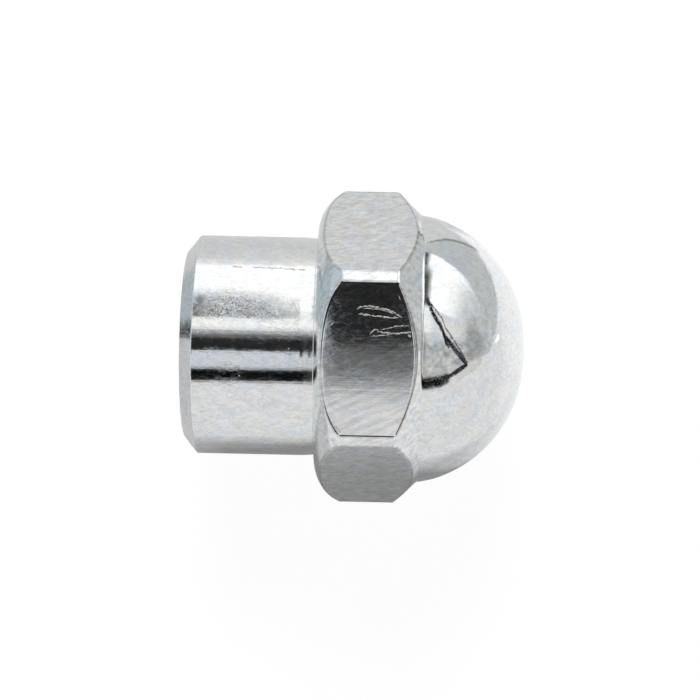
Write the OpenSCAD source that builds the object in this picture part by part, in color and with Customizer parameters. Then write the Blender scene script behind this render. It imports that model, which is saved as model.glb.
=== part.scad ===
// Domed axle nut: one turned and milled piece, made from hexagon bar.
// +X runs along the thread axis from the open end of the shank to the crown of the dome.
// The origin is on that axis, in the plane of the shank's open end.
// Two of the hexagon's flats face straight up and straight down (+Z and -Z).
// All sizes are in millimetres.

/* [Thread] */

// Nominal (major) diameter of the internal thread
thread_d = 16; // [12:0.5:16.5]
// Pitch of the internal thread
thread_pitch = 1.5; // [1:0.25:2]
// Included angle of the countersink at the mouth of the thread
sink_angle = 120; // [110:5:130]
// Included angle of the drill point at the blind end
drill_angle = 118; // [90:2:140]
// Metal left between the drill point and the crown of the dome
crown_wall = 4.7; // [3:0.1:8]

/* [Shank] */

// Wall of the round shank, outside the thread's nominal diameter
shank_wall = 2.7; // [2:0.1:3.3]
// Length of the shank, from its open end to the hexagon
shank_l = 12.7; // [8:0.1:20]
// Radial width of the bevel round the open end
bevel_w = 1.55; // [0.6:0.05:1.7]
// Axial length of the bevel round the open end
bevel_l = 1.25; // [0.6:0.05:2]
// Width of the shallow tool relief beside the hexagon
relief_w = 0.8; // [0.5:0.1:1.5]
// Depth of the tool relief below the shank
relief_depth = 0.06; // [0.04:0.01:0.2]

/* [Hexagon] */

// Width across the flats
hex_af = 27; // [25:0.1:30]
// Length from the flat ring at the front to the crease where the neck starts
hex_l = 10; // [8:0.1:14]
// Radial amount turned off each corner of the hexagon
corner_cut = 0.3; // [0.1:0.05:0.8]
// Width of the flat ring between the shank and the rounded front shoulder
seat_w = 0.6; // [0.4:0.05:0.8]
// Radius of the rounded front shoulder
shoulder_r = 4.75; // [3:0.05:6]
// Angle of the back cone to the axis
back_angle = 45; // [30:1:50]
// Angle to the axis of the short neck between the back cone and the dome
neck_angle = 12; // [8:1:16]
// Length of the neck, from the crease to the dome's arc
neck_l = 1.9; // [1.5:0.1:2.5]
// Radius of the fillet in the crease between the back cone and the neck
crease_r = 1; // [0.5:0.1:1.5]

/* [Dome] */

// Height of the neck and the dome, from the crease to the crown
dome_h = 10.3; // [8.5:0.1:12]
// Step between the hexagon's flats and the widest circle of the dome's arc
dome_step = 0.1; // [0.05:0.05:0.5]
// Distance of the dome arc's centre from the axis, which flattens the crown
crown_r = 0.8; // [0.3:0.1:2]

/* [Drawing] */

// Number of sides that a drawn circle has
smoothness = 128; // [64:16:256]

/* [Hidden] */

$fn = smoothness;

// A cutter or an inner block runs this far past the surface that it meets
past = 1;
// An arc that blends into a flat or a cone is cut this much deeper, so that it crosses cleanly
bite = 0.005;

// Thread: depth of the 60 degree profile as a share of the pitch, and the wall it leaves
thread_depth_ratio = 0.54127;
bore_r = thread_d / 2 - thread_depth_ratio * thread_pitch;
mouth_r = thread_d / 2;
sink_l = (mouth_r - bore_r) / tan(sink_angle / 2);

// Shank
shank_r = thread_d / 2 + shank_wall;
end_r = shank_r - bevel_w;
relief_r = shank_r - relief_depth;

// Hexagon: corner radius after turning, and the centre of the front shoulder's arc.
// A small arc is a plain quarter round, and the flat ring then grows to meet it.
hex_corner_r = hex_af / 2 / cos(30);
corner_r = hex_corner_r - corner_cut;
seat_r = shank_r + seat_w;
shoulder_x = shank_l + shoulder_r;
shoulder_lead = sqrt((shoulder_r + bite) ^ 2 - shoulder_r ^ 2);
shoulder_y = max(seat_r - shoulder_lead, corner_r - shoulder_r);

// Dome: the arc of the section, and the point where the neck meets it
total_l = shank_l + hex_l + dome_h;
dome_r = hex_af / 2 - dome_step - crown_r;
dome_x = total_l - dome_r;
crease_x = shank_l + hex_l;
neck_x = crease_x + neck_l;
neck_y = crown_r + sqrt(dome_r ^ 2 - (neck_x - dome_x) ^ 2);

// The neck rises from the dome to the crease, and the back cone rises from there to the corners
crease_y = neck_y + neck_l * tan(neck_angle);
back_x = crease_x - (corner_r - crease_y) / tan(back_angle);

// Fillet in the crease: its circle touches the back cone and the neck
fillet_half = (back_angle - neck_angle) / 2;
fillet_lean = (back_angle + neck_angle) / 2;
fillet_x = crease_x + crease_r / cos(fillet_half) * sin(fillet_lean);
fillet_y = crease_y + crease_r / cos(fillet_half) * cos(fillet_lean);
touch_l = crease_r * tan(fillet_half);
cone_touch = [crease_y + touch_l * sin(back_angle), crease_x - touch_l * cos(back_angle)];
neck_touch = [crease_y - touch_l * sin(neck_angle), crease_x + touch_l * cos(neck_angle)];

// Bore: the drill point ends at the crown wall
point_l = bore_r / tan(drill_angle / 2);
bore_l = total_l - crown_wall - point_l;

// In each flat section the first coordinate is the radius and the second runs along the thread.

// Half section of the shank, with the bevel at its open end and the relief beside the hexagon
module shank_section() {
    difference() {
        polygon([
            [0, 0],
            [end_r, 0],
            [shank_r, bevel_l],
            [shank_r, shank_l + past],
            [0, shank_l + past]
        ]);
        translate([relief_r, shank_l - relief_w])
            square([shank_r - relief_r + past, relief_w]);
    }
}

// Half section of the hexagon's blank: flat ring, rounded shoulder, corner cylinder, back cone.
// Past the back cone it fills the crease, out to the centre of the fillet.
module hexagon_section() {
    difference() {
        polygon([
            [0, shank_l],
            [corner_r, shank_l],
            [corner_r, back_x],
            cone_touch,
            [fillet_y, fillet_x],
            neck_touch,
            [0, neck_touch[1]]
        ]);
        difference() {
            translate([shoulder_y, shank_l - past])
                square([corner_r - shoulder_y + past, shoulder_r + past]);
            translate([shoulder_y, shoulder_x])
                circle(r = shoulder_r + bite);
        }
    }
}

// Half section of the neck and the dome: the dome's arc, with a small flat at the crown.
// Everything above the line of the neck is cut away; the line leaves the arc where the neck ends.
module dome_section() {
    lead = past * tan(neck_angle);
    end_l = dome_h + past;
    intersection() {
        union() {
            translate([crown_r, dome_x])
                circle(r = dome_r);
            translate([0, dome_x])
                square([crown_r, dome_r]);
        }
        polygon([
            [0, crease_x - past],
            [crease_y + lead, crease_x - past],
            [crease_y - end_l * tan(neck_angle), crease_x + end_l],
            [0, crease_x + end_l]
        ]);
    }
}

// Half section of the whole outside, with the fillet's circle cut out of the filled crease
module blank_section() {
    difference() {
        union() {
            shank_section();
            hexagon_section();
            dome_section();
        }
        translate([fillet_y, fillet_x])
            circle(r = crease_r + bite);
    }
}

// The outside as the lathe leaves it, before the flats
module turned_blank() {
    rotate_extrude()
        blank_section();
}

// The hexagon bar, with flats on +X and -X
module hexagon_bar() {
    translate([0, 0, -past])
        rotate([0, 0, 30])
            cylinder(h = total_l + 2 * past, r = hex_corner_r, $fn = 6);
}

// The blind hole that the thread is cut in: countersink, bore and drill point
module tapping_hole() {
    translate([0, 0, -past])
        cylinder(h = bore_l + past, r = bore_r);
    cylinder(h = sink_l, r1 = mouth_r, r2 = bore_r);
    translate([0, 0, bore_l])
        cylinder(h = point_l, r1 = bore_r, r2 = 0);
}

module axle_nut() {
    color([0.79, 0.80, 0.81])
        rotate([0, 90, 0])
            difference() {
                intersection() {
                    turned_blank();
                    hexagon_bar();
                }
                tapping_hole();
            }
}

axle_nut();
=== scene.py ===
import math

import bpy
import numpy as np
from mathutils import Matrix, Vector

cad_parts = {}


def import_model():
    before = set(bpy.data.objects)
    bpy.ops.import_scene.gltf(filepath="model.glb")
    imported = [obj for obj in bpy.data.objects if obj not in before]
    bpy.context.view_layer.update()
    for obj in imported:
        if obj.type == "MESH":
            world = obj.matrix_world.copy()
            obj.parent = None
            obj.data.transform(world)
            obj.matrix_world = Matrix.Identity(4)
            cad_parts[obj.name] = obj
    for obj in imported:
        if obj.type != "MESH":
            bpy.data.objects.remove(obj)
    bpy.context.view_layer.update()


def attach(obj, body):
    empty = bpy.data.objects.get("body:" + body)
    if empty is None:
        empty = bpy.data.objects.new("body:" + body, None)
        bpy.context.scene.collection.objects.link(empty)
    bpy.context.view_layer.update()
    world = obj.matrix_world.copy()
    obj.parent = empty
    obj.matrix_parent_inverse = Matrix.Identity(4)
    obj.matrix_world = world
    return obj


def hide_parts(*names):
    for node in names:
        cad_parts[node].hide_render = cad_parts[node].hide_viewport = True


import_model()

# ---- mesh: sizes in millimetres, from the CAD source. +X runs from the open end to the crown. ----
MM = 0.001
THREAD_PITCH = 1.5
BORE_R = 7.188
BORE_L = 23.981
POINT_L = 4.319  # the drill point past the bore
MOUTH_R = 8.0
SINK_SLOPE = math.tan(math.radians(60))
END_R = 9.15
BEVEL_L = 1.25
SHANK_R = 10.7
SHANK_L = 12.7
RELIEF_R = 10.64
RELIEF_W = 0.8
APOTHEM = 13.5  # from the axis to a flat
CORNER_CUT = 0.3
CORNER_R = APOTHEM / math.cos(math.radians(30)) - CORNER_CUT
SHOULDER_R = 4.75
SHOULDER_X = SHANK_L + SHOULDER_R
SHOULDER_Y = 11.082
BACK_ANGLE = math.radians(45)
CREASE_X = 22.7
CREASE_R = 0.55  # tighter than in the CAD source, since the photo's light line there is thin
NECK_L = 1.9
NECK_X = 24.6
NECK_ANGLE = math.radians(12)
NECK_SWELL = math.radians(5)  # the neck's barely swollen profile
DOME_R = 12.6
DOME_X = 20.4
CROWN_R = 0.8
TOTAL_L = 33.0
NECK_Y = CROWN_R + math.sqrt(DOME_R**2 - (NECK_X - DOME_X) ** 2)
CREASE_Y = NECK_Y + NECK_L * math.tan(NECK_ANGLE)
CREASE_TOUCH = CREASE_R * math.tan((BACK_ANGLE - NECK_ANGLE) / 2)  # from the crease to its fillet's ends

# Rounded edges. The turned ones are given by how far the rounding reaches on each side of the corner.
EDGE_W = 0.36  # width of the rounded band along each milled edge
RING_TOUCH = 0.07
BEVEL_TOUCH = 0.08
STEP_TOUCH = 0.28
RELIEF_TOUCH = 0.20
SEAT_TOUCH = 0.10
MOUTH_TOUCH = 0.03
STEP_BEFORE, STEP_AFTER = 0.30, 0.40  # the relief's step is spread this far round its place

# Mesh lines.
SIDES = 6
CORNER_AT = math.acos(APOTHEM / CORNER_R)  # where a flat meets the turned corner, from the flat's middle
NEAR = np.array([0.035, 0.075, 0.12, 0.18, 0.27, 0.42])  # distances of mesh lines from an edge
HALF_FLAT_LINES = 15
SHOULDER_LINES = 16
FLAT_LINES = 15
CONE_LINES = 8
NECK_LINES = 14
DOME_LINES = 50
SHORT_STRETCH = 2.6 * NEAR[-1]  # on a shorter stretch the close lines are drawn in
FILLET_LINES = 11
FIELD_STEPS = 12  # steps that bring a point onto the hexagon's surface
LEAST_SLOPE = 0.05  # keeps such a step short where the field's gradient fades
TINY = 1e-12  # keeps a quotient finite


def sector_angles():
    """Angles of the mesh lines in one sixth of a turn, from a flat's middle to both its corners."""
    near = NEAR / CORNER_R
    plain = np.linspace(0, CORNER_AT - near[-1], HALF_FLAT_LINES)[:-1]
    middle_of_corner = math.pi / SIDES
    edge = [CORNER_AT - near[::-1], [CORNER_AT], CORNER_AT + near[:-1], [middle_of_corner]]
    half = np.concatenate([plain, *edge])
    return np.concatenate([-half[:0:-1][1:], half])


def rounded(p0, p1, p2, tangent, count):
    """Points and normals of an arc that replaces the corner p1 of p0-p1-p2, the material on its right."""
    p0, p1, p2 = (np.array(p, float) for p in (p0, p1, p2))
    a = (p0 - p1) / np.linalg.norm(p0 - p1)
    b = (p2 - p1) / np.linalg.norm(p2 - p1)
    half = math.acos(np.clip(a @ b, -1, 1)) / 2
    bisector = (a + b) / np.linalg.norm(a + b)
    centre = p1 + bisector * tangent / math.cos(half)
    start, end = p1 + a * tangent - centre, p1 + b * tangent - centre
    sweep = math.atan2(start[0] * end[1] - start[1] * end[0], start @ end)
    points, normals = [], []
    for t in np.linspace(0, 1, count):
        c, s = math.cos(sweep * t), math.sin(sweep * t)
        v = np.array([c * start[0] - s * start[1], s * start[0] + c * start[1]])
        points.append(centre + v)
        n = v / np.linalg.norm(v)
        normals.append(n if sweep < 0 else -n)
    return points, normals


def line(p0, p1, fractions):
    """Points on a straight stretch, with its normal: the material lies to the right of the way it runs."""
    p0, p1 = np.array(p0, float), np.array(p1, float)
    d = (p1 - p0) / np.linalg.norm(p1 - p0)
    n = np.array([-d[1], d[0]])
    return [p0 + (p1 - p0) * f for f in fractions], [n] * len(fractions)


def swollen(p0, p1, fractions):
    """Points and normals of a shallow arc over the line p0-p1 that turns by NECK_SWELL on each side of it."""
    p0, p1 = np.array(p0, float), np.array(p1, float)
    length = np.linalg.norm(p1 - p0)
    d = (p1 - p0) / length
    n = np.array([-d[1], d[0]])
    points, normals = [], []
    for f in fractions:
        slope = NECK_SWELL * (1 - 2 * f)
        points.append(p0 + d * length * f + n * length * NECK_SWELL * f * (1 - f))
        normal = n - d * slope
        normals.append(normal / np.linalg.norm(normal))
    return points, normals


def joined(parts):
    """One list of points and one of normals from the stretches of a profile."""
    points = [p for stretch, _ in parts for p in stretch]
    normals = [n for _, stretch in parts for n in stretch]
    return np.array(points), np.array(normals)


def front_profile():
    """The turned outside from the end ring to the foot of the rounded shoulder, as (x, r) with normals."""
    ring0, ring1 = (0, MOUTH_R + 2 * MOUTH_TOUCH), (0, END_R)
    bevel1 = (BEVEL_L, SHANK_R)
    step0 = (SHANK_L - RELIEF_W - STEP_BEFORE, SHANK_R)
    step1 = (SHANK_L - RELIEF_W + STEP_AFTER, RELIEF_R)
    seat0, seat1 = (SHANK_L, RELIEF_R), (SHANK_L, SHOULDER_Y)
    return joined([
        line(ring0, ring1, [0, 0.3, 0.6, 0.85]),
        rounded(ring0, ring1, bevel1, RING_TOUCH, 6),
        line(ring1, bevel1, [0.08, 0.3, 0.6, 0.85, 0.93]),
        rounded(ring1, bevel1, step0, BEVEL_TOUCH, 6),
        line(bevel1, step0, [0.02, 0.06, 0.15, 0.3, 0.45, 0.6, 0.75, 0.86, 0.93]),
        rounded(bevel1, step0, step1, STEP_TOUCH, 7),
        rounded(step0, step1, seat0, RELIEF_TOUCH, 7),
        rounded(step1, seat0, seat1, SEAT_TOUCH, 6),
        line(seat0, seat1, [0.4, 0.7]),
    ])


def back_profile():
    """The turned outside from the fillet in the crease to the crown, as (x, r) with normals."""
    far = (CREASE_X - 2, CREASE_Y + 2 * math.tan(BACK_ANGLE))  # on the back cone
    crease, neck1 = (CREASE_X, CREASE_Y), (NECK_X, NECK_Y)
    start = math.asin((NECK_X - DOME_X) / DOME_R)
    angles = np.linspace(start, math.pi / 2, DOME_LINES)[1:]
    rays = [np.array([math.sin(a), math.cos(a)]) for a in angles]
    dome = [np.array([DOME_X, CROWN_R]) + DOME_R * ray for ray in rays]
    crown = [np.array([TOTAL_L, r]) for r in (0.5, 0.25, 0.08)]
    return joined([
        rounded(far, crease, neck1, CREASE_TOUCH, FILLET_LINES),
        swollen(crease, neck1, np.linspace(CREASE_TOUCH / NECK_L + 0.03, 0.97, NECK_LINES)),
        (dome, rays),
        (crown, [np.array([1.0, 0.0])] * len(crown)),
    ])


def softer_max(a, b, grad_a, grad_b):
    """The larger of two distances, rounded where the surfaces cross so that the band is EDGE_W wide. Also its
    gradient, and how near each point is to the middle of the band: 1 there and 0 beside the band."""
    cosine = np.clip((grad_a * grad_b).sum(-1), -1, 1)
    rho = EDGE_W * np.sqrt((1 - cosine) / 2) + 1e-9  # never quite nothing
    pa, pb = np.maximum(a + rho, 0), np.maximum(b + rho, 0)
    size = np.hypot(pa, pb) + TINY
    both = (pa > 0) & (pb > 0)
    value = np.where(both, size - rho, np.maximum(a, b))
    mixed = (pa[..., None] * grad_a + pb[..., None] * grad_b) / size[..., None]
    plain = np.where((a > b)[..., None], grad_a, grad_b)
    band = np.where(both, 4 * pa * pb / (pa + pb + TINY) ** 2, 0.0)
    return value, np.where(both[..., None], mixed, plain), band


def hexagon_field(p):
    """Distance, gradient and edge band of the hexagon's surface. p is x, the way out of the flat, and the way
    along it."""
    x, out, along = p[..., 0], p[..., 1], p[..., 2]
    r = np.hypot(out, along)
    radial = np.stack([np.zeros_like(r), out / r, along / r], -1)
    axial = np.zeros_like(p)
    axial[..., 0] = 1
    dx, dr = x - SHOULDER_X, r - SHOULDER_Y
    h = np.hypot(dx, dr)
    on_arc = (dx < 0) & (dr > 0)
    inner = dr <= 0
    shoulder = np.where(on_arc, h, np.where(inner, -dx, dr)) - SHOULDER_R
    g_arc = (dx / h)[..., None] * axial + (dr / h)[..., None] * radial
    g_shoulder = np.where(on_arc[..., None], g_arc, np.where(inner[..., None], -axial, radial))
    s, c = math.sin(BACK_ANGLE), math.cos(BACK_ANGLE)
    cone = (x - CREASE_X) * s + (r - CREASE_Y) * c
    g_cone = axial * s + radial * c
    g_flat = np.zeros_like(p)
    g_flat[..., 1] = 1
    value, grad, _ = softer_max(shoulder, r - CORNER_R, g_shoulder, radial)
    value, grad, _ = softer_max(value, cone, grad, g_cone)
    return softer_max(value, out - APOTHEM, grad, g_flat)


def spaced(length, count, both):
    """Distances along a stretch of each length: close lines at its end or at both ends, even ones between."""
    scale = np.minimum(1, length / SHORT_STRETCH)[:, None]
    near = NEAR[None, :] * scale
    length = length[:, None]
    start = near[:, -1:] if both else np.zeros_like(length)
    stop = length - near[:, -1:]
    mid = start + (stop - start) * np.linspace(0, 1, count)[None, :]
    rows = [near[:, :-1], mid] if both else [mid]
    return np.concatenate(rows + [length - near[:, -2::-1]], 1)


def sharp_hexagon(local):
    """Mesh lines of the hexagon before its edges are rounded, as (angle, ring, (x, r)): over the shoulder,
    the flat or turned corner, and the back cone. local is each line's angle from its flat's middle."""
    limit = np.minimum(APOTHEM / np.cos(local), CORNER_R)
    psi = np.arcsin(np.clip((limit - SHOULDER_Y) / SHOULDER_R, 0, 1))
    x_front = SHOULDER_X - SHOULDER_R * np.cos(psi)
    x_back = CREASE_X - (limit - CREASE_Y) / math.tan(BACK_ANGLE)

    arc = spaced(psi * SHOULDER_R, SHOULDER_LINES, False)[:, 1:] / SHOULDER_R
    shoulder = (SHOULDER_X - SHOULDER_R * np.cos(arc), SHOULDER_Y + SHOULDER_R * np.sin(arc))
    front_edge = (x_front[:, None], limit[:, None])
    s = spaced(x_back - x_front, FLAT_LINES, True)
    flat = (x_front[:, None] + s, np.broadcast_to(limit[:, None], s.shape))
    back_edge = (x_back[:, None], limit[:, None])
    run = (limit - CREASE_Y) / math.sin(BACK_ANGLE) - CREASE_TOUCH
    s = run[:, None] - spaced(run, CONE_LINES, False)[:, :0:-1]
    cone = (x_back[:, None] + s * math.cos(BACK_ANGLE), limit[:, None] - s * math.sin(BACK_ANGLE))
    return np.concatenate([np.stack(xr, -1) for xr in (shoulder, front_edge, flat, back_edge, cone)], 1)


def outside():
    """Rings of the outside from the open end to the crown: points and normals as (ring, angle, xyz), the
    share of each point in the flats' rounded edges, and the angles."""
    sector = sector_angles()
    local = np.tile(sector, SIDES)
    middle = np.repeat(np.radians(30 + 60 * np.arange(SIDES)), len(sector))
    theta = middle + local

    xr = sharp_hexagon(local)
    x, r = xr[..., 0], xr[..., 1]
    p = np.stack([x, r * np.cos(local)[:, None], r * np.sin(local)[:, None]], -1)
    for _ in range(FIELD_STEPS):
        value, grad, _ = hexagon_field(p)
        p = p - (value / np.maximum((grad**2).sum(-1), LEAST_SLOPE))[..., None] * grad
    _, grad, band = hexagon_field(p)
    grad = grad / np.linalg.norm(grad, axis=-1, keepdims=True)

    def turned_to_side(v):
        c, s = np.cos(middle)[:, None], np.sin(middle)[:, None]
        return np.stack([v[..., 0], v[..., 1] * c - v[..., 2] * s, v[..., 1] * s + v[..., 2] * c], -1)

    def spun(profile):
        c, s = np.cos(theta)[:, None], np.sin(theta)[:, None]
        along, out = profile[None, :, 0], profile[None, :, 1]
        return np.stack([along * np.ones_like(c), out * c, out * s], -1)

    front, front_n = (spun(part) for part in front_profile())
    back, back_n = (spun(part) for part in back_profile())
    points = np.concatenate([front, turned_to_side(p), back], 1).transpose(1, 0, 2)
    normals = np.concatenate([front_n, turned_to_side(grad), back_n], 1).transpose(1, 0, 2)
    edges = np.concatenate([np.zeros(front.shape[:2]), band, np.zeros(back.shape[:2])], 1).T
    return points, normals, edges, theta


# Where the thread's outline bends in one pitch: its crest is between the first two, its root between the
# last two.
THREAD_PLACES = (0.0, 0.25, 0.5625, 0.6875)
THREAD_START, THREAD_END = 0.60, 21.9
BORE_ANGLES = 120
SINK_L = (MOUTH_R - BORE_R) / SINK_SLOPE
SINK_STEP = 0.04  # between mesh lines in the countersink
SAME_POINT = 1e-4  # nearer points of the hole share a vertex


def thread_wall(x, theta):
    """Radius of the bore's wall. The right-hand thread fades out over its last turn, and the countersink cuts
    its start."""
    depth = np.clip((THREAD_END - x) / THREAD_PITCH, 0, 1)
    t = (x / THREAD_PITCH - theta / (2 * math.pi)) % 1.0
    rise = np.interp(t, [*THREAD_PLACES, 1.0], [0, 0, 1, 1, 0])
    return np.maximum(BORE_R + (MOUTH_R - BORE_R) * rise * depth, MOUTH_R - x * SINK_SLOPE)


def thread_stations():
    """Places of the mesh lines in one pitch of the thread, close together on both sides of each edge."""
    near = 0.014  # of a pitch
    lines = {round((e + d) % 1, 6) for e in THREAD_PLACES for d in (-near, 0, near)}
    return np.array(sorted(lines | {0.125, 0.40, 0.625, 0.845}))


def inside():
    """The blind threaded hole, from the drill point to the mouth: vertices, faces and the rim's vertices."""
    theta = 2 * math.pi * np.arange(BORE_ANGLES) / BORE_ANGLES
    ids, points, faces = {}, [], []

    def vertex(x, j, r=None):
        key = (round(x / SAME_POINT), j % BORE_ANGLES, None if r is None else round(r / SAME_POINT))
        if key not in ids:
            t = theta[j % BORE_ANGLES]
            wall = thread_wall(x, t) if r is None else r
            ids[key] = len(points)
            points.append((x, wall * math.cos(t), wall * math.sin(t)))
        return ids[key]

    def ring(x, r=None):
        return lambda j: vertex(x, j, r)

    def face(*corners):
        loop = [c for i, c in enumerate(corners) if c != corners[i - 1]]
        if len(set(loop)) >= 3:
            faces.append(loop)

    def between(rings):
        for ring0, ring1 in zip(rings[:-1], rings[1:]):
            for j in range(BORE_ANGLES):
                face(ring0(j), ring0(j + 1), ring1(j + 1), ring1(j))

    tip_x = BORE_L + POINT_L
    tip = len(points)
    points.append((tip_x, 0.0, 0.0))
    cone = [ring(tip_x - POINT_L * r / BORE_R, r) for r in (0.15, 0.8, 2, 3.5, 5, 6.3, 7.0, 7.16)]
    wall = [ring(BORE_L - back, BORE_R) for back in (0, 0.03, 0.5, 1.2)]
    for j in range(BORE_ANGLES):
        face(tip, cone[0](j + 1), cone[0](j))
    between([*cone, *wall, ring(THREAD_END)])

    stations = thread_stations()
    turns = np.arange(-1, math.ceil(THREAD_END / THREAD_PITCH) + 1)
    places = (turns[:, None] + stations[None, :]).ravel()[::-1]
    for high, low in zip(places[:-1], places[1:]):
        for j in range(BORE_ANGLES):
            x = [THREAD_PITCH * (p + k / BORE_ANGLES) for p in (high, low) for k in (j, j + 1)]
            x = [min(max(v, THREAD_START), THREAD_END) for v in x]
            face(vertex(x[0], j), vertex(x[1], j + 1), vertex(x[3], j + 1), vertex(x[2], j))

    mouth, _ = rounded((SINK_L, BORE_R), (0, MOUTH_R), (0, END_R), MOUTH_TOUCH, 4)
    sink = np.arange(THREAD_START - SINK_STEP, mouth[0][0] + SINK_STEP / 2, -SINK_STEP)
    rings = [ring(THREAD_START), *(ring(x) for x in sink), *(ring(x, r) for x, r in mouth)]
    between(rings)
    return np.array(points), faces, [rings[-1](j) for j in range(BORE_ANGLES)]


def bridge(ring0, angles0, ring1, angles1):
    """Triangles between two rings of vertices in one plane that have different numbers of vertices."""
    i = j = 0
    n, m = len(ring0), len(ring1)
    faces = []
    angle = lambda angles, k: angles[k % len(angles)] + 2 * math.pi * (k // len(angles))
    while i < n or j < m:
        if j >= m or (i < n and angle(angles0, i + 1) <= angle(angles1, j + 1)):
            faces.append([ring0[i % n], ring0[(i + 1) % n], ring1[j % m]])
            i += 1
        else:
            faces.append([ring0[i % n], ring1[(j + 1) % m], ring1[j % m]])
            j += 1
    return faces


# ---- blender: from here on in metres ----
FLOOR_Z = -0.0135


def nut_mesh():
    """One closed mesh of the whole nut; its second material covers the blind hole."""
    rings, ring_normals, ring_edges, theta = outside()
    hole, hole_faces, hole_rim = inside()
    outer = rings.reshape(-1, 3)
    count = len(outer)
    index = np.arange(count).reshape(rings.shape[:2])
    ahead = np.roll(index, -1, 1)
    quads = np.stack([index[:-1], ahead[:-1], ahead[1:], index[1:]], -1).reshape(-1, 4).tolist()
    crown = [index[-1].tolist()]
    rim = [count + i for i in hole_rim]
    rim_angles = [2 * math.pi * j / BORE_ANGLES for j in range(BORE_ANGLES)]
    end_ring = bridge(rim, rim_angles, index[0].tolist(), theta.tolist())
    bore = [[count + i for i in face] for face in hole_faces]
    plated = quads + crown + end_ring
    mesh = bpy.data.meshes.new("axle_nut_plated")
    mesh.from_pydata((np.concatenate([outer, hole]) * MM).tolist(), [], plated + bore)
    mesh.polygons.foreach_set("use_smooth", [True] * len(mesh.polygons))
    mesh.polygons.foreach_set("material_index", [0] * len(plated) + [1] * len(bore))
    normals = np.concatenate([ring_normals.reshape(-1, 3), np.zeros_like(hole)])
    mesh.normals_split_custom_set_from_vertices(normals.tolist())
    # Share in the flats' rounded edges, used by the plate to paint a dark outline of shade there.
    edges = np.concatenate([ring_edges.ravel(), np.zeros(len(hole))])
    mesh.attributes.new("flat_edge", "FLOAT", "POINT").data.foreach_set("value", edges)
    mesh.update()
    return mesh


class Nodes:
    """Short calls to add and join shader nodes in one node tree."""

    def __init__(self, owner):
        owner.use_nodes = True
        self.tree = owner.node_tree
        self.tree.nodes.clear()

    def add(self, kind, inputs=None, **settings):
        node = self.tree.nodes.new(kind)
        for key, value in settings.items():
            setattr(node, key, value)
        for key, value in (inputs or {}).items():
            if isinstance(value, bpy.types.NodeSocket):
                self.tree.links.new(value, node.inputs[key])
            else:
                node.inputs[key].default_value = value
        return node

    def math(self, operation, a, b=0.0, c=0.0):
        return self.add("ShaderNodeMath", {0: a, 1: b, 2: c}, operation=operation).outputs[0]

    def times(self, first, *others):
        """The product of all the values."""
        for other in others:
            first = self.math("MULTIPLY", first, other)
        return first

    def greatest(self, values):
        """The largest of the values at each point."""
        largest, *others = values
        for value in others:
            largest = self.math("MAXIMUM", largest, value)
        return largest

    def place(self, kind="Object"):
        return self.add("ShaderNodeTexCoord").outputs[kind]

    def split(self, vector):
        return self.add("ShaderNodeSeparateXYZ", {0: vector}).outputs

    def distance(self, a, b):
        return self.add("ShaderNodeVectorMath", {0: a, 1: b}, operation="DISTANCE").outputs["Value"]

    def blend(self, factor, a, b):
        """A colour that goes from a to b as the factor goes from 0 to 1."""
        return self.add("ShaderNodeMix", {0: factor, 6: a, 7: b}, data_type="RGBA").outputs[2]

    def smooth(self, value, low, high, to_low=0.0, to_high=1.0):
        inputs = {0: value, 1: low, 2: high, 3: to_low, 4: to_high}
        return self.add("ShaderNodeMapRange", inputs, interpolation_type="SMOOTHSTEP").outputs[0]

    def span(self, value, ends, soft):
        """1 between two ends of a value and 0 outside them; soft is the width of the edge inside each end."""
        low = self.smooth(value, ends[0], ends[0] + soft[0])
        return self.times(low, self.smooth(value, ends[1] - soft[1], ends[1], 1.0, 0.0))

    def noise(self, vector, scale, detail=2.0, roughness=0.5, distortion=0.0):
        inputs = {"Vector": vector, "Scale": scale, "Detail": detail, "Roughness": roughness}
        return self.add("ShaderNodeTexNoise", {**inputs, "Distortion": distortion}).outputs["Fac"]

    def contours(self, value, count, width):
        """Thin lines along the contours of a value, count of them for each unit, 1 on their middle."""
        part = self.math("SUBTRACT", self.math("FRACT", self.times(value, count)), 0.5)
        return self.smooth(self.math("ABSOLUTE", part), 0.0, width, 1.0, 0.0)

    def stretch(self, vector, factors):
        return self.add("ShaderNodeMapping", {"Vector": vector, "Scale": factors}).outputs[0]

    def turn(self, vector, angle, factors):
        """The vector turned about Z, then stretched."""
        turned = self.add("ShaderNodeMapping", {"Vector": vector, "Rotation": (0.0, 0.0, angle)})
        return self.stretch(turned.outputs[0], factors)

    def stroke(self, x, y, points, width):
        """A thin line through three points of a flat, tapered at both ends: 1 on its middle, 0 beside it."""
        (x0, y0), (x1, y1), (x2, y2) = points
        bend = ((y2 - y1) / (x2 - x1) - (y1 - y0) / (x1 - x0)) / (x2 - x0)
        slope = (y1 - y0) / (x1 - x0) - bend * (x0 + x1)
        start = y0 - slope * x0 - bend * x0 * x0
        line = self.math("MULTIPLY_ADD", self.math("MULTIPLY_ADD", x, bend, slope), x, start)
        away = self.math("ABSOLUTE", self.math("SUBTRACT", y, line))
        taper = min(0.4, (x2 - x0) / 3)
        ends = self.span(x, (x0, x2), (taper, taper))
        return self.times(self.smooth(away, 0.2 * width, width, 1.0, 0.0), ends)

    def bump(self, height, distance, strength=1.0, normal=None):
        inputs = {"Height": height, "Distance": distance, "Strength": strength}
        if normal is not None:
            inputs["Normal"] = normal
        return self.add("ShaderNodeBump", inputs).outputs[0]

    def output(self, surface, kind="ShaderNodeOutputMaterial"):
        self.add(kind, {"Surface": surface.outputs[0]})


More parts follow.
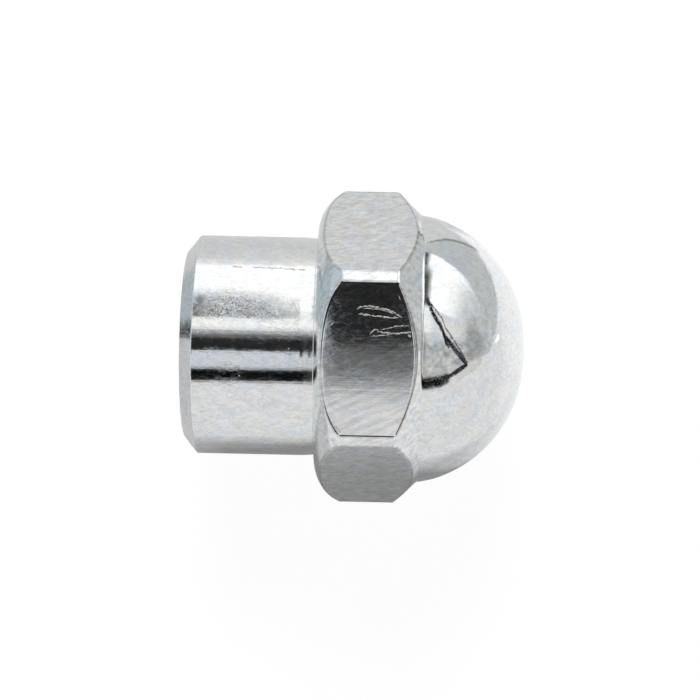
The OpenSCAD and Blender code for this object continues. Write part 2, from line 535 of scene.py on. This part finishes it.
# Strokes of the scrapes on the flat that faces +Z: three points of each in millimetres, and the line's width.
STROKES = [
    ((16.61, 4.57), (17.34, 4.84), (18.16, 4.94), 0.06),
    ((17.71, 4.91), (19.54, 4.57), (20.93, 3.92), 0.085),
    ((16.78, 4.21), (18.55, 4.01), (20.57, 3.90), 0.075),
    ((17.20, 4.62), (18.60, 4.66), (20.10, 4.22), 0.045),
    ((18.94, 2.77), (20.15, 3.06), (21.59, 3.21), 0.05),
    ((18.56, 2.68), (20.60, 2.45), (21.74, 2.64), 0.08),
    ((17.88, 2.25), (18.18, 2.59), (18.71, 2.76), 0.06),
    ((17.95, 2.15), (18.95, 2.23), (20.02, 2.33), 0.045),
    ((21.40, 2.28), (21.55, 2.20), (21.70, 2.17), 0.10),
    ((13.83, 2.73), (14.26, 3.05), (14.69, 3.40), 0.05),
    ((20.50, 5.90), (20.57, 5.78), (20.66, 5.62), 0.06),
    ((14.62, -6.00), (15.05, -6.42), (15.50, -6.95), 0.10),
]
# A thin painted dark line along the shank, in place of a ridge breaking the reflection there, as the strokes,
# and small nicks as a place and a size, in millimetres.
PAINTED_LINE = ((4.6, 7.98), (8.3, 7.93), (11.9, 7.80))
PAINTED_LINE_WIDTH = 0.10
NICKS = [
    ((5.80, -2.05, 10.50), 0.06),
    ((10.40, 0.60, 10.68), 0.06),
    ((1.90, 2.00, 10.51), 0.08),
]

# Heights of the bumps in metres.
WAVE_HEIGHT = 14e-6
FILM_HEIGHT = 2.6e-6
HAIR_HEIGHT = 3.5e-6
MARK_HEIGHT = 1.2e-6
SCRAPE_HEIGHT = 14e-6

# Colours of the plate: the film's two tints, and the bare metal of a scrape.
BLUE_FILM = (0.95, 0.995, 1.035, 1)
YELLOW_FILM = (1.0, 1.0, 0.975, 1)
BARE_METAL = (0.98, 0.90, 0.76, 1)


def rubbed_patch(n, at, x, y, z):
    """A patch of crowded curly lines high on the shank."""
    lines = n.noise(n.stretch(at, (0.45, 1.0, 1.0)), 1.5, detail=3.0, roughness=0.6, distortion=2.6)
    across = n.span(y, (2.6, 6.6), (1.4, 1.4))
    along = n.span(x, (1.6, 11.4), (2.4, 3.4))
    return n.times(n.contours(lines, 9.0, 0.16), n.times(across, along, n.smooth(z, 4.0, 7.0)))


def scrape_marks(n, at, x, y, z):
    """The scrapes on the flat that faces +Z, wavy and broken up."""
    lines = n.greatest([n.stroke(x, y, points, width) for *points, width in STROKES])
    broken = n.smooth(n.noise(at, 5.0, detail=3.0), 0.42, 0.60, 0.15, 1.0)
    return n.times(lines, n.smooth(z, APOTHEM - 0.2, APOTHEM - 0.1), broken)


def chrome():
    """Bright plate: a thin uneven film, curly and straight hair lines, slight waves and scrapes of use.
    Painted shade darkens a thin line on the shank and the flats' rounded edges.
    """
    material = bpy.data.materials.new("chrome_plate")
    n = Nodes(material)
    at = n.stretch(n.place(), (1 / MM, 1 / MM, 1 / MM))
    x, y, z = n.split(at)
    r = n.math("SQRT", n.math("ADD", n.math("POWER", y, 2.0), n.math("POWER", z, 2.0)))

    # Where each finish lies. The plate is smoother on the flats and on the polished neck and dome, where
    # off_flats and off_dome are lower than 1.
    on_flats = n.smooth(x, SHANK_L - 0.1, SHANK_L + 0.1, 0.0, 0.66)
    on_flats = n.times(on_flats, n.smooth(r, APOTHEM - 0.5, APOTHEM - 0.2))
    off_flats = n.math("SUBTRACT", 1.0, on_flats)
    off_dome = n.smooth(x, CREASE_X - 0.1, CREASE_X + 0.5, 1.0, 0.42)
    off_dome_root = n.math("SQRT", off_dome)
    off_both = n.times(off_flats, off_dome)
    before_crease = n.smooth(x, CREASE_X - 0.1, CREASE_X + 0.1, 1.0, 0.0)
    lapped = n.times(n.smooth(x, SHANK_L - 0.1, SHANK_L + 0.1, 1.0, 0.28), before_crease)
    hexagon = n.times(n.smooth(x, SHANK_L, SHANK_L + 0.3), before_crease)
    relief_x = SHANK_L - RELIEF_W
    relief = n.smooth(x, relief_x - 0.3, relief_x + 0.1)
    relief = n.times(relief, n.smooth(r, SHANK_R + 0.2, SHANK_R + 0.35, 1.0, 0.0))
    relief = n.times(relief, n.smooth(x, SHANK_L + 0.02, SHANK_L + 0.1, 1.0, 0.0))
    # The flats' rounded edges: the plate is darkened there, a painted dark outline in place of their dark
    # reflection.
    edge = n.add("ShaderNodeAttribute", attribute_name="flat_edge").outputs["Fac"]

    # The plate's film and the lines of its polishing.
    film = n.noise(n.stretch(at, (0.6, 1.0, 1.0)), 1.5, detail=6.0, roughness=0.66, distortion=1.6)
    tint = n.noise(at, 0.62, detail=3.0, roughness=0.6, distortion=0.8)
    waves = n.noise(at, 0.42, detail=2.5, roughness=0.55)
    worn = n.times(n.smooth(n.noise(at, 0.42, detail=2.0), 0.40, 0.60, 0.25, 1.0), off_flats)
    whorls = n.noise(n.stretch(at, (0.7, 1.0, 1.0)), 0.55, detail=2.5, roughness=0.55, distortion=2.2)
    curls = n.times(n.contours(whorls, 8.0, 0.11), worn)
    hairs = n.noise(n.stretch(at, (0.035, 3.0, 3.0)), 1.0, detail=3.0, roughness=0.6)
    brushed = n.noise(n.turn(at, -0.42, (0.28, 2.6, 2.6)), 1.0, detail=4.0, roughness=0.62)
    scratch = n.noise(n.turn(at, 0.30, (0.22, 4.0, 4.0)), 1.0, detail=2.0, distortion=0.4)
    scratch = n.times(n.smooth(scratch, 0.60, 0.70), worn)
    rubbed = rubbed_patch(n, at, x, y, z)

    # Marks placed where the photo shows them.
    wobble = n.math("MULTIPLY_ADD", n.noise(at, 1.9, detail=2.0), 0.30, -0.15)
    y_wavy = n.math("ADD", y, wobble)
    scrapes = scrape_marks(n, at, x, y_wavy, z)
    # Painted shade: a thin dark line darkens the plate along the shank, where a ridge breaks the reflection.
    painted_line = n.times(n.stroke(x, y_wavy, PAINTED_LINE, PAINTED_LINE_WIDTH), n.smooth(z, 5.0, 6.0))
    painted_line = n.times(painted_line, n.smooth(n.noise(at, 1.3, detail=2.0), 0.40, 0.55))
    nicks = n.greatest([n.smooth(n.distance(at, place), 0.4 * size, size, 1.0, 0.0) for place, size in NICKS])

    marks = n.math("ADD", curls, n.math("ADD", scratch, n.times(rubbed, 2.0)))
    normal = n.bump(waves, WAVE_HEIGHT, n.times(off_flats, off_dome_root))
    normal = n.bump(film, FILM_HEIGHT, off_both, normal)
    normal = n.bump(hairs, HAIR_HEIGHT, lapped, normal)
    normal = n.bump(marks, MARK_HEIGHT, n.times(off_both, off_flats), normal)
    normal = n.bump(n.math("SUBTRACT", scrapes, nicks), SCRAPE_HEIGHT, 1.0, normal)

    rough = n.math("MULTIPLY_ADD", n.times(curls, off_flats), 0.09, n.smooth(film, 0.35, 0.75, 0.045, 0.115))
    rough = n.times(rough, n.times(off_dome_root, n.math("MULTIPLY_ADD", off_flats, 0.42, 0.58)))
    for value, share in ((n.times(scratch, off_flats), 0.09), (rubbed, 0.30), (relief, 0.05),
                         (n.greatest([scrapes, nicks]), 0.30)):
        rough = n.math("MULTIPLY_ADD", value, share, rough)

    level = n.smooth(film, 0.32, 0.68, 0.765, 0.93)
    level = n.math("MULTIPLY_ADD", hexagon, n.smooth(brushed, 0.36, 0.62, -0.10, 0.06), level)
    # The painted line and the flats' rounded edges darken the plate as painted shade.
    for value, share in ((curls, -0.12), (scratch, -0.06), (painted_line, -0.45), (n.smooth(edge, 0.2, 0.9), -0.20)):
        level = n.math("MULTIPLY_ADD", value, share, level)
    colour = n.blend(n.smooth(tint, 0.38, 0.62), BLUE_FILM, YELLOW_FILM)
    colour = n.blend(scrapes, colour, BARE_METAL)
    colour = n.add("ShaderNodeVectorMath", {0: colour, "Scale": level}, operation="SCALE").outputs[0]
    n.output(n.add("ShaderNodeBsdfPrincipled", {
        "Base Color": colour, "Metallic": 1.0, "Roughness": rough, "Normal": normal}))
    return material


def bore_plate():
    """Thinner, duller plate inside the threaded hole."""
    material = bpy.data.materials.new("bore_plate")
    n = Nodes(material)
    grain = n.noise(n.place(), 900.0, detail=3.0)
    n.output(n.add("ShaderNodeBsdfPrincipled", {
        "Base Color": (0.50, 0.49, 0.47, 1), "Metallic": 1.0,
        "Roughness": n.smooth(grain, 0.3, 0.7, 0.28, 0.42), "Normal": n.bump(grain, 8e-6)}))
    return material


def link(name, mesh, *materials):
    """A new object at the origin, with its materials."""
    item = bpy.data.objects.new(name, mesh)
    bpy.context.scene.collection.objects.link(item)
    for material in materials:
        mesh.materials.append(material)
    return item


nut = link("axle_nut_plated", nut_mesh(), chrome(), bore_plate())
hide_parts("axle_nut")
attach(nut, "root")


# ---- floor, world and lamps ----
WHITE = (1, 1, 1, 1)
FLOOR_HALF = 1.2
FLOOR_GREY = (0.86, 0.86, 0.86, 1)
FLOOR_MIDDLE = (0.0165, 0.0, FLOOR_Z)
CLEAR_FROM, CLEAR_TO = 0.03, 0.13  # the floor's shadow fades between these distances from the nut


def sheet(name, x, y, z):
    """The mesh of a level rectangle between two x and two y."""
    mesh = bpy.data.meshes.new(name)
    mesh.from_pydata([(x[0], y[0], z), (x[1], y[0], z), (x[1], y[1], z), (x[0], y[1], z)], [], [(0, 1, 2, 3)])
    return mesh


def floor():
    """A pale sheet. The camera sees it near white with the nut's soft shadow, the metal as it is lit."""
    material = bpy.data.materials.new("pale_floor")
    n = Nodes(material)
    path = n.add("ShaderNodeLightPath")
    away = n.distance(n.place(), FLOOR_MIDDLE)
    seen = n.times(path.outputs["Is Camera Ray"], n.smooth(away, CLEAR_FROM, CLEAR_TO, 0.88, 1.0))
    seen = n.math("MULTIPLY_ADD", path.outputs["Is Glossy Ray"], 0.03, seen)
    plain = n.add("ShaderNodeBsdfDiffuse", {"Color": FLOOR_GREY})
    white = n.add("ShaderNodeEmission", {"Color": WHITE, "Strength": 1.075})
    n.output(n.add("ShaderNodeMixShader", {0: seen, 1: plain.outputs[0], 2: white.outputs[0]}))
    whole = (-FLOOR_HALF, FLOOR_HALF)
    link("floor", sheet("floor", whole, whole, FLOOR_Z), material)


def world():
    """Soft even light; the camera and the metal see it white."""
    sky = bpy.data.worlds.new("studio")
    bpy.context.scene.world = sky
    n = Nodes(sky)
    path = n.add("ShaderNodeLightPath")
    other = n.math("MULTIPLY_ADD", path.outputs["Is Camera Ray"], 0.72, 0.28)
    inputs = {0: path.outputs["Is Glossy Ray"], 2: other, 3: 0.80}
    level = n.add("ShaderNodeMix", inputs, data_type="FLOAT").outputs[0]
    n.output(n.add("ShaderNodeBackground", {"Color": WHITE, "Strength": level}), "ShaderNodeOutputWorld")


TENT_R = 0.19
TENT_CENTRE = (0.0165, 0, 0)
CARD_STEPS = 16
CARD_LAYER = 0.0015  # a card of depth 1 hangs this far inside the tent
FLOOR_LAYER = 0.0002  # a floor card of lift 1 lies this far over the floor
ROD_DEPTH = 0.012
ROD_COLOUR = (0.02, 0.022, 0.025, 1)


def tent_point(roll, rise, closer=0.0):
    """A point on the light tent: roll is the angle round the nut's axis from straight up towards +Y, and rise
    the angle from there towards +X, both in degrees. closer brings it inside the tent by that many metres."""
    roll, rise, r = math.radians(roll), math.radians(rise), TENT_R - closer
    across = r * math.cos(rise)
    along = r * math.sin(rise)
    return Vector(TENT_CENTRE) + Vector((along, across * math.sin(roll), across * math.cos(roll)))


def for_metal_only(item):
    """Hides a staged object from all but the reflections."""
    item.visible_camera = False
    item.visible_diffuse = False
    item.visible_transmission = False
    item.visible_volume_scatter = False
    item.visible_shadow = False


def glow(n, mask, tint, strength):
    """A surface that glows where the mask is 1 and is clear where it is 0."""
    clear = n.add("ShaderNodeBsdfTransparent")
    light = n.add("ShaderNodeEmission", {"Color": (*tint, 1), "Strength": strength})
    n.output(n.add("ShaderNodeMixShader", {0: mask, 1: clear.outputs[0], 2: light.outputs[0]}))


def card_mesh(name, depth, roll, rise):
    """The mesh of a card, bent to the tent; its UV map holds roll and rise in degrees."""
    steps = [k / CARD_STEPS for k in range(CARD_STEPS + 1)]
    across = roll[1] - roll[0]
    along = rise[1] - rise[0]
    places = [(roll[0] + across * i, rise[0] + along * k) for i in steps for k in steps]
    row = CARD_STEPS + 1
    corners = [i * row + k for i in range(CARD_STEPS) for k in range(CARD_STEPS)]
    faces = [(c, c + 1, c + row + 1, c + row) for c in corners]
    mesh = bpy.data.meshes.new(name)
    mesh.from_pydata([tent_point(*place, closer=CARD_LAYER * depth) for place in places], [], faces)
    layer = mesh.uv_layers.new(name="place")
    for loop in mesh.loops:
        layer.data[loop.index].uv = places[loop.vertex_index]
    return mesh


def card(name, depth, roll, rise, level, soft_roll, soft_rise, tint=(1, 1, 1), oval=False, mottle=0.0):
    """A card of the light tent that only the metal sees, between two rolls and two rises in degrees. One of
    greater depth hangs in front. soft_roll and soft_rise are the widths of the soft edges at each end. An
    oval card is half an ellipse on its low roll edge, soft over the outer share soft_roll[1] of its radius.
    mottle is the share by which the glow strays from its level."""
    material = bpy.data.materials.new(name)
    n = Nodes(material)
    place = n.place("UV")
    turn, along, _ = n.split(place)
    if oval:
        across = n.math("DIVIDE", n.math("SUBTRACT", along, (rise[0] + rise[1]) / 2), (rise[1] - rise[0]) / 2)
        upward = n.math("DIVIDE", n.math("SUBTRACT", turn, roll[0]), roll[1] - roll[0])
        reach = n.math("SQRT", n.math("ADD", n.math("POWER", across, 2.0), n.math("POWER", upward, 2.0)))
        low = n.smooth(turn, roll[0], roll[0] + soft_roll[0])
        mask = n.times(low, n.smooth(reach, 1.0 - soft_roll[1], 1.0, 1.0, 0.0))
    else:
        mask = n.times(n.span(turn, roll, soft_roll), n.span(along, rise, soft_rise))
    strength = level
    if mottle:
        uneven = n.noise(place, 0.13, detail=4.0, roughness=0.55, distortion=0.6)
        strength = n.smooth(uneven, 0.3, 0.7, level * (1 - mottle), level * (1 + mottle))
    glow(n, mask, tint, strength)
    for_metal_only(link(name, card_mesh(name, depth, roll, rise), material))


def hoop(name, bends, width):
    """A dark bent rod of the light tent, through places given as roll and rise; its width is in degrees."""
    curve = bpy.data.curves.new(name, "CURVE")
    curve.dimensions = "3D"
    curve.bevel_depth = TENT_R * math.radians(width) / 2
    spline = curve.splines.new("NURBS")
    spline.points.add(len(bends) - 1)
    for point, (roll, rise) in zip(spline.points, bends):
        point.co = (*tent_point(roll, rise, closer=ROD_DEPTH), 1)
    spline.use_endpoint_u = True
    material = bpy.data.materials.new(name)
    n = Nodes(material)
    n.output(n.add("ShaderNodeEmission", {"Color": ROD_COLOUR, "Strength": 1.0}))
    for_metal_only(link(name, curve, material))


def floor_card(name, x, y, level, soft, tint=(1, 1, 1), lift=1):
    """A sheet on the floor that only the metal sees, between two x and two y. One of greater lift lies on
    top. soft is the widths of its soft edges at low and high x, then at low and high y."""
    material = bpy.data.materials.new(name)
    n = Nodes(material)
    at_x, at_y, _ = n.split(n.place())
    glow(n, n.times(n.span(at_y, y, soft[2:]), n.span(at_x, x, soft[:2])), tint, level)
    for_metal_only(link(name, sheet(name, x, y, FLOOR_Z + FLOOR_LAYER * lift), material))


def lamp(name, place, target, size, power):
    """A soft lamp that lights the floor and that neither the camera nor the metal sees."""
    data = bpy.data.lights.new(name, "AREA")
    data.shape = "SQUARE"
    data.size = size
    data.energy = power
    item = bpy.data.objects.new(name, data)
    item.location = place
    item.rotation_euler = (Vector(target) - Vector(place)).to_track_quat("-Z", "Y").to_euler()
    item.visible_camera = False
    item.visible_glossy = False
    bpy.context.scene.collection.objects.link(item)


floor()
world()

PALE_BLUE = (0.96, 0.99, 1.04)
PALE_GREY = (0.97, 1.0, 1.0)
PALE_SAND = (1.01, 0.99, 0.96)
COOL = (0.92, 1.01, 1.06)

# The wide cards: the softbox behind the nut, and the greys past both its ends.
card("softbox_card", 0, (36, 104), (-60, 58), 1.24, (5, 14), (10, 22))
card("end_card", 0.5, (-19, 120), (46, 89), 0.58, (6, 10), (24, 1), PALE_GREY, mottle=0.22)
card("band_card", 0.8, (-33.5, -17), (51, 80), 0.69, (0.5, 0.5), (1, 3), PALE_SAND)
card("corner_card", 1, (-17, 70), (58, 86), 0.40, (9, 40), (8, 12), PALE_GREY, mottle=0.22)
card("high_card", 1.5, (10, 42), (-40, 30), 1.03, (4, 5), (10, 10))
card("side_card", 2, (28, 118), (-84, -14), 0.60, (8, 10), (6, 5), COOL)

# Overhead: a pale panel, and the dark boom and lens that make the shank's two bands and darken the top flat.
card("panel_card", 2.5, (-24, 20), (-50, 50), 0.70, (3, 3), (10, 8), PALE_BLUE)
card("wedge_card", 3, (-24, 16), (12, 64), 0.54, (3, 8), (6, 8), mottle=0.35)
card("boom_card", 3.5, (-35.5, -16.5), (-50, 16), 0.004, (5, 5), (10, 3))
card("boom_tip_card", 4, (-31.7, -18.5), (8, 47), 0.004, (3, 3), (3, 3))
card("rim_card", 4.5, (-7.5, 24), (-45, 22), 0.17, (2.3, 12), (10, 8))
card("lens_card", 5, (-4.3, 14), (-45, 20), 0.019, (0.9, 4), (10, 6))

# Small cards in front: for the low end of the top flat, the step and the relief beside the hexagon, the grey
# patch on the shank, and the neck.
card("warm_card", 5.2, (-13, -5.1), (-2.3, 4.0), 0.72, (2, 2.6), (0.4, 1.5))
card("step_card", 5.5, (-12, -1.0), (-16, -2.0), 0.72, (2, 0.9), (2, 0.4), PALE_BLUE)
card("relief_card", 5.5, (-12, -1.0), (3.0, 10.0), 0.72, (2, 0.9), (1, 2), PALE_BLUE)
card("patch_card", 6, (31, 68), (-14, -2.5), 0.22, (2.5, 0.5), (1, 1), PALE_BLUE, oval=True)
card("neck_card", 6.5, (38, 84), (13, 24), 0.09, (6, 16), (2, 6))
card("neck_top_card", 7, (66, 106), (13, 19.5), 0.09, (16, 6), (2, 4))

# The bent rod that the dome shows, with its cord and strap.
hoop("hoop", [
    (-25.5, 36), (-24.5, 42), (-22.5, 48.5), (-20.5, 54), (-18, 60), (-17, 62), (-17, 62), (-14, 61.5),
    (-8, 59), (-2, 55.5), (4, 51.5), (10, 48), (16, 43.5), (21, 38), (26, 32.5), (32, 27.5), (40, 22.5),
    (48, 19.5)], 3.1)
hoop("hoop_cord", [
    (-14, 62), (-6, 60.5), (1.5, 57), (11, 52), (21.5, 45.5), (30, 37.5), (37, 29), (44, 23)], 1.1)
hoop("hoop_strap", [(24, 33), (18, 38), (12, 42.5), (6, 46.5)], 2.0)

# Sheets on the floor, the lowest first.
floor_card("far_sheet", (-1.2, 1.2), (0.07, 1.2), 0.98, (0.001, 0.001, 0.25, 0.001), lift=0.5)
floor_card("near_sheet", (-1.2, 1.2), (-1.2, -0.040), 0.78, (0.001, 0.001, 0.001, 0.050), lift=1)
floor_card("side_sheet", (0.040, 1.2), (-0.12, 0.022), 0.82, (0.016, 0.001, 0.04, 0.003), lift=1.5)
floor_card("grey_sheet", (0.037, 0.30), (0.020, 0.20), 0.58, (0.002, 0.02, 0.004, 0.02), PALE_GREY, lift=2)
floor_card("grey_mat", (-0.14, -0.013), (0.003, 0.085), 0.50, (0.02, 0.010, 0.004, 0.03), COOL, lift=2.5)
floor_card("grey_wall", (-0.80, -0.055), (0.003, 0.50), 0.50, (0.02, 0.020, 0.004, 0.03), COOL, lift=2.8)
floor_card("bright_sheet", (0.028, 0.12), (-0.036, 0.022), 1.00, (0.004, 0.085, 0.040, 0.003), lift=3)
floor_card("lamp_glint", (0.105, 0.170), (0.008, 0.013), 1.7, (0.012, 0.012, 0.001, 0.001), lift=3.2)
floor_card("dark_mat", (-0.095, -0.056), (0.001, 0.015), 0.08, (0.006, 0.005, 0.003, 0.004), lift=3.5)
floor_card("shade", (-0.012, 0.036), (-0.046, -0.012), 0.29, (0.032, 0.016, 0.013, 0.001), lift=4)
floor_card("sheet_edge", (0.0356, 0.0384), (0.018, 0.075), 0.30, (0.001, 0.001, 0.002, 0.02), lift=4.5)

lamp("key_lamp", (0.0, 0.38, 0.30), (0.016, 0, 0), 0.20, 1.70)


# ---- camera, fitted to the photo's outline: lengths in millimetres ----
PICTURE_W = 700  # pixels
SENSOR_W = 36.0
CAMERA_D = 198.35  # from the nut's axis
CAMERA_SCALE = 10.164  # pixels of the picture for one millimetre at the axis
CAMERA_AXIS_X = 17.94  # where the fitted view's own axes meet the nut's axis
SIDEWAYS, UPWARDS = 1.968, 0.233
YAW, ROLL, LEAN = math.radians(0.69), math.radians(1.21), math.radians(-4.65)


def camera():
    """The photo's camera."""
    data = bpy.data.cameras.new("camera")
    data.sensor_width = SENSOR_W
    data.lens = SENSOR_W * CAMERA_D * CAMERA_SCALE / PICTURE_W
    data.clip_start, data.clip_end = 0.01, 10.0
    turn = Matrix.Rotation(-ROLL, 3, "Z") @ Matrix.Rotation(-YAW, 3, "Y") @ Matrix.Rotation(-LEAN, 3, "X")
    to_world = turn.transposed()
    place = to_world @ Vector((-SIDEWAYS, -UPWARDS, CAMERA_D)) + Vector((CAMERA_AXIS_X, 0, 0))
    item = bpy.data.objects.new("camera", data)
    item.matrix_world = Matrix.Translation(place * MM) @ to_world.to_4x4()
    bpy.context.scene.collection.objects.link(item)
    bpy.context.scene.camera = item


camera()
bpy.context.scene.view_settings.view_transform = "Standard"
